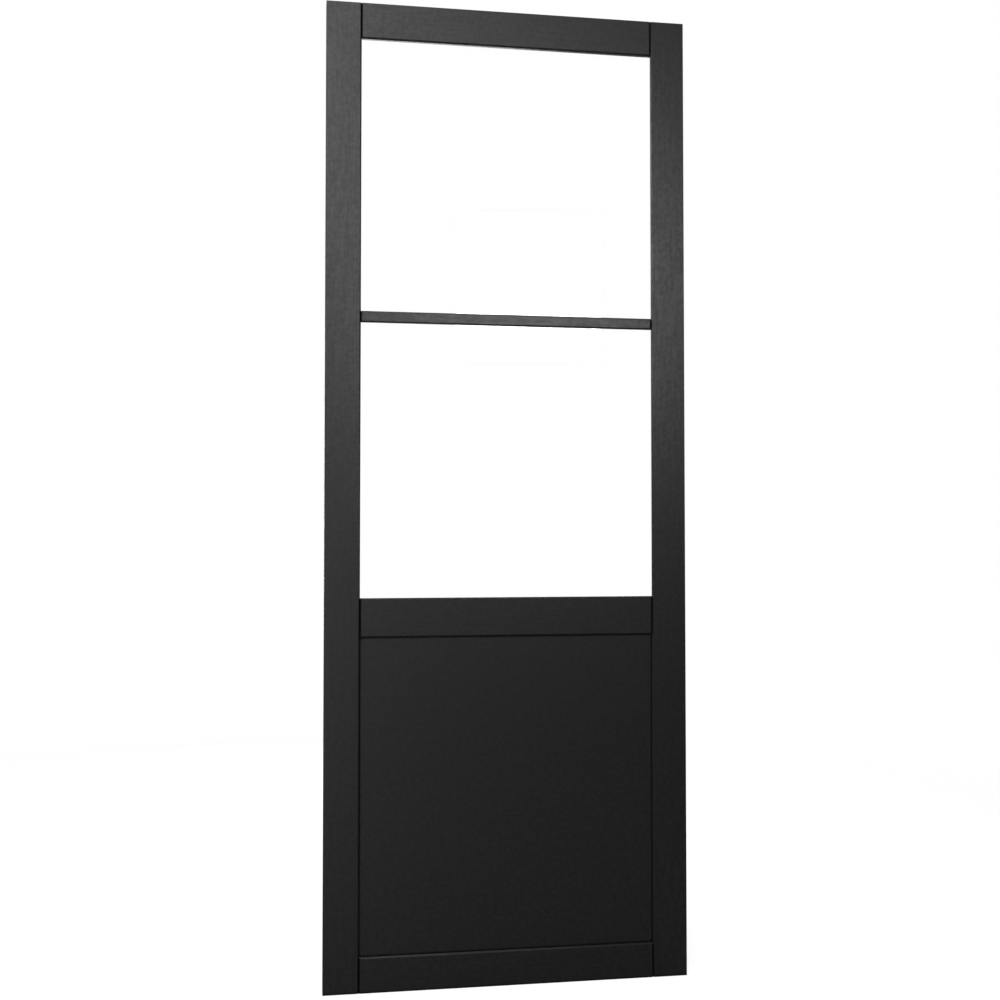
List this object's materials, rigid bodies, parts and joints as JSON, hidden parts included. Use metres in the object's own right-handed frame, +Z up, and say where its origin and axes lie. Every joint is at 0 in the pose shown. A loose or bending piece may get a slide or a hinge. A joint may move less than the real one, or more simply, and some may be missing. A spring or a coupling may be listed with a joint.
{
  "type": "glazed interior door",
  "caption": "Tall black painted door leaf with stiles and rails, clear glass panes over a flat recessed lower panel.",
  "frame": {"origin": "foot of the hinge edge, in the middle of the leaf's thickness", "axes": "+X from the hinge edge to the lock edge, +Y from the front face to the rear face with the glazing beads, +Z up"},
  "size_m": [0.9, 0.04, 2.4],
  "materials": {
    "painted_frame": "black satin paint",
    "painted_panel": "black satin paint",
    "painted_bead": "black satin paint",
    "clear_glass": "clear and polished",
    "glazing_seal": "black matt",
    "setting_block": "black matt"
  },
  "bodies": {
    "root": {"bottom_rail": "painted_frame", "glazing_bar": "painted_frame", "hinge_stile": "painted_frame", "lock_stile": "painted_frame", "lower_bead_bottom": "painted_bead", "lower_bead_hinge_side": "painted_bead", "lower_bead_lock_side": "painted_bead", "lower_bead_top": "painted_bead", "lower_front_seal": "glazing_seal", "lower_glass": "clear_glass", "lower_panel": "painted_panel", "lower_rear_seal": "glazing_seal", "lower_setting_block_hinge_side": "setting_block", "lower_setting_block_lock_side": "setting_block", "mid_rail": "painted_frame", "top_rail": "painted_frame", "upper_bead_bottom": "painted_bead", "upper_bead_hinge_side": "painted_bead", "upper_bead_lock_side": "painted_bead", "upper_bead_top": "painted_bead", "upper_front_seal": "glazing_seal", "upper_glass": "clear_glass", "upper_rear_seal": "glazing_seal", "upper_setting_block_hinge_side": "setting_block", "upper_setting_block_lock_side": "setting_block"}
  },
  "joints": []
}
